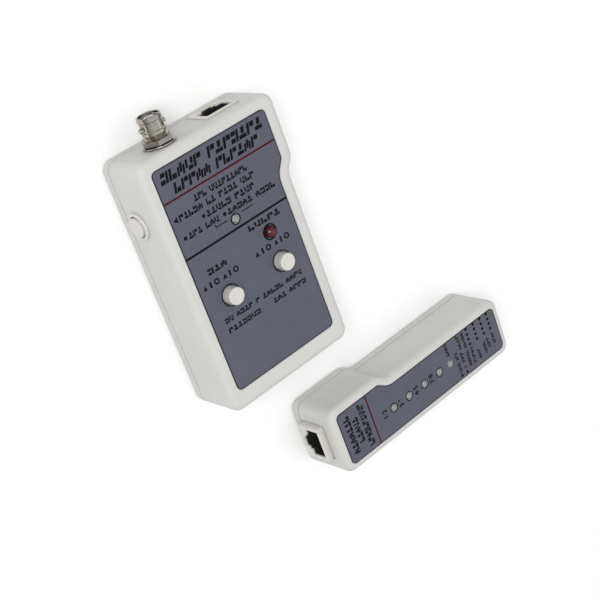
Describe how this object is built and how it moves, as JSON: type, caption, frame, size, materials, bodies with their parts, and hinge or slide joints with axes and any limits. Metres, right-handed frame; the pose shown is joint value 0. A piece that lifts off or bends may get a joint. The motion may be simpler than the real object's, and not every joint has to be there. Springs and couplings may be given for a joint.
{
  "type": "network cable tester",
  "caption": "Hand-held network cable tester with BNC and modular sockets, push buttons and lamps, plus a separate remote terminator block.",
  "frame": {"origin": "on the main unit's back face, straight under the middle of its label", "axes": "+X to the right across the main unit's label, +Y towards its sockets, +Z out of the label; both units lie on their backs and the remote's socket points along -X"},
  "size_m": [0.1431, 0.1734, 0.03],
  "materials": {
    "casing": "fine moulded texture, warm light grey",
    "button_cap": "satin ivory moulding",
    "overlay": "satin printed polycarbonate, dark blue-grey",
    "nickel_plate": "bright nickel plating",
    "gold_plate": "gold flash on phosphor bronze",
    "white_plastic": "white fluoropolymer",
    "jack_plastic": "satin ivory moulding",
    "black_plastic": "matt black moulding",
    "red_lens": "tinted red epoxy",
    "clear_lens": "water-clear epoxy",
    "circuit_board": "green solder mask on glass laminate",
    "steel": "zinc-plated",
    "battery_can": "printed steel can, plain",
    "red_wire": "red insulation"
  },
  "bodies": {
    "tester": {"main_front_shell": "casing", "main_back_shell": "casing", "main_label": "overlay", "main_circuit_board": "circuit_board", "main_rj45_housing": "jack_plastic", "main_rj45_contacts": "gold_plate", "bnc_shell": "nickel_plate", "bnc_nut": "nickel_plate", "bnc_washer": "nickel_plate", "bnc_insulator": "white_plastic", "bnc_centre_contact": "gold_plate", "bnc_signal_wire": "white_plastic", "power_switch": "black_plastic", "ground_switch": "black_plastic", "bnc_test_switch": "black_plastic", "bnc_test_bezel": "button_cap", "power_lamp": "red_lens", "bnc_lamp": "clear_lens", "counter_chip": "black_plastic", "timer_chip": "black_plastic", "smoothing_capacitor": "black_plastic", "main_resistor_network": "black_plastic", "battery_9v": "battery_can", "battery_snap": "black_plastic", "battery_wire_red": "red_wire", "battery_wire_black": "black_plastic", "main_screw_1": "steel", "main_screw_2": "steel", "main_screw_3": "steel", "main_screw_4": "steel"},
    "power_button": {"power_button": "button_cap"},
    "ground_button": {"ground_button": "button_cap"},
    "bnc_test_button": {"bnc_test_button": "button_cap"},
    "battery_cover": {"battery_cover": "casing"},
    "remote_unit": {"remote_front_shell": "casing", "remote_back_shell": "casing", "remote_label": "overlay", "remote_circuit_board": "circuit_board", "remote_rj45_housing": "jack_plastic", "remote_rj45_contacts": "gold_plate", "remote_diode_array": "black_plastic", "remote_resistor_network": "black_plastic", "remote_lamp_1": "clear_lens", "remote_lamp_2": "clear_lens", "remote_lamp_3": "clear_lens", "remote_lamp_4": "clear_lens", "remote_lamp_5": "clear_lens", "remote_screw_1": "steel", "remote_screw_2": "steel"}
  },
  "joints": [
    {"name": "power_button_press", "type": "slide", "parent": "tester", "child": "power_button", "axis": [0, 0, -1], "range_m": [0, 0.0025], "stiffness_N_per_m": 400},
    {"name": "ground_button_press", "type": "slide", "parent": "tester", "child": "ground_button", "axis": [0, 0, -1], "range_m": [0, 0.0025], "stiffness_N_per_m": 400},
    {"name": "bnc_test_button_press", "type": "slide", "parent": "tester", "child": "bnc_test_button", "axis": [1, 0, 0], "range_m": [0, 0.002], "stiffness_N_per_m": 400},
    {"name": "battery_cover_slide", "type": "slide", "parent": "tester", "child": "battery_cover", "axis": [0, -1, 0], "range_m": [0, 0.009]},
    {"name": "remote_unit_lift", "type": "slide", "parent": "tester", "child": "remote_unit", "axis": [0, 0, 1], "range_m": [0, 0.06]}
  ]
}
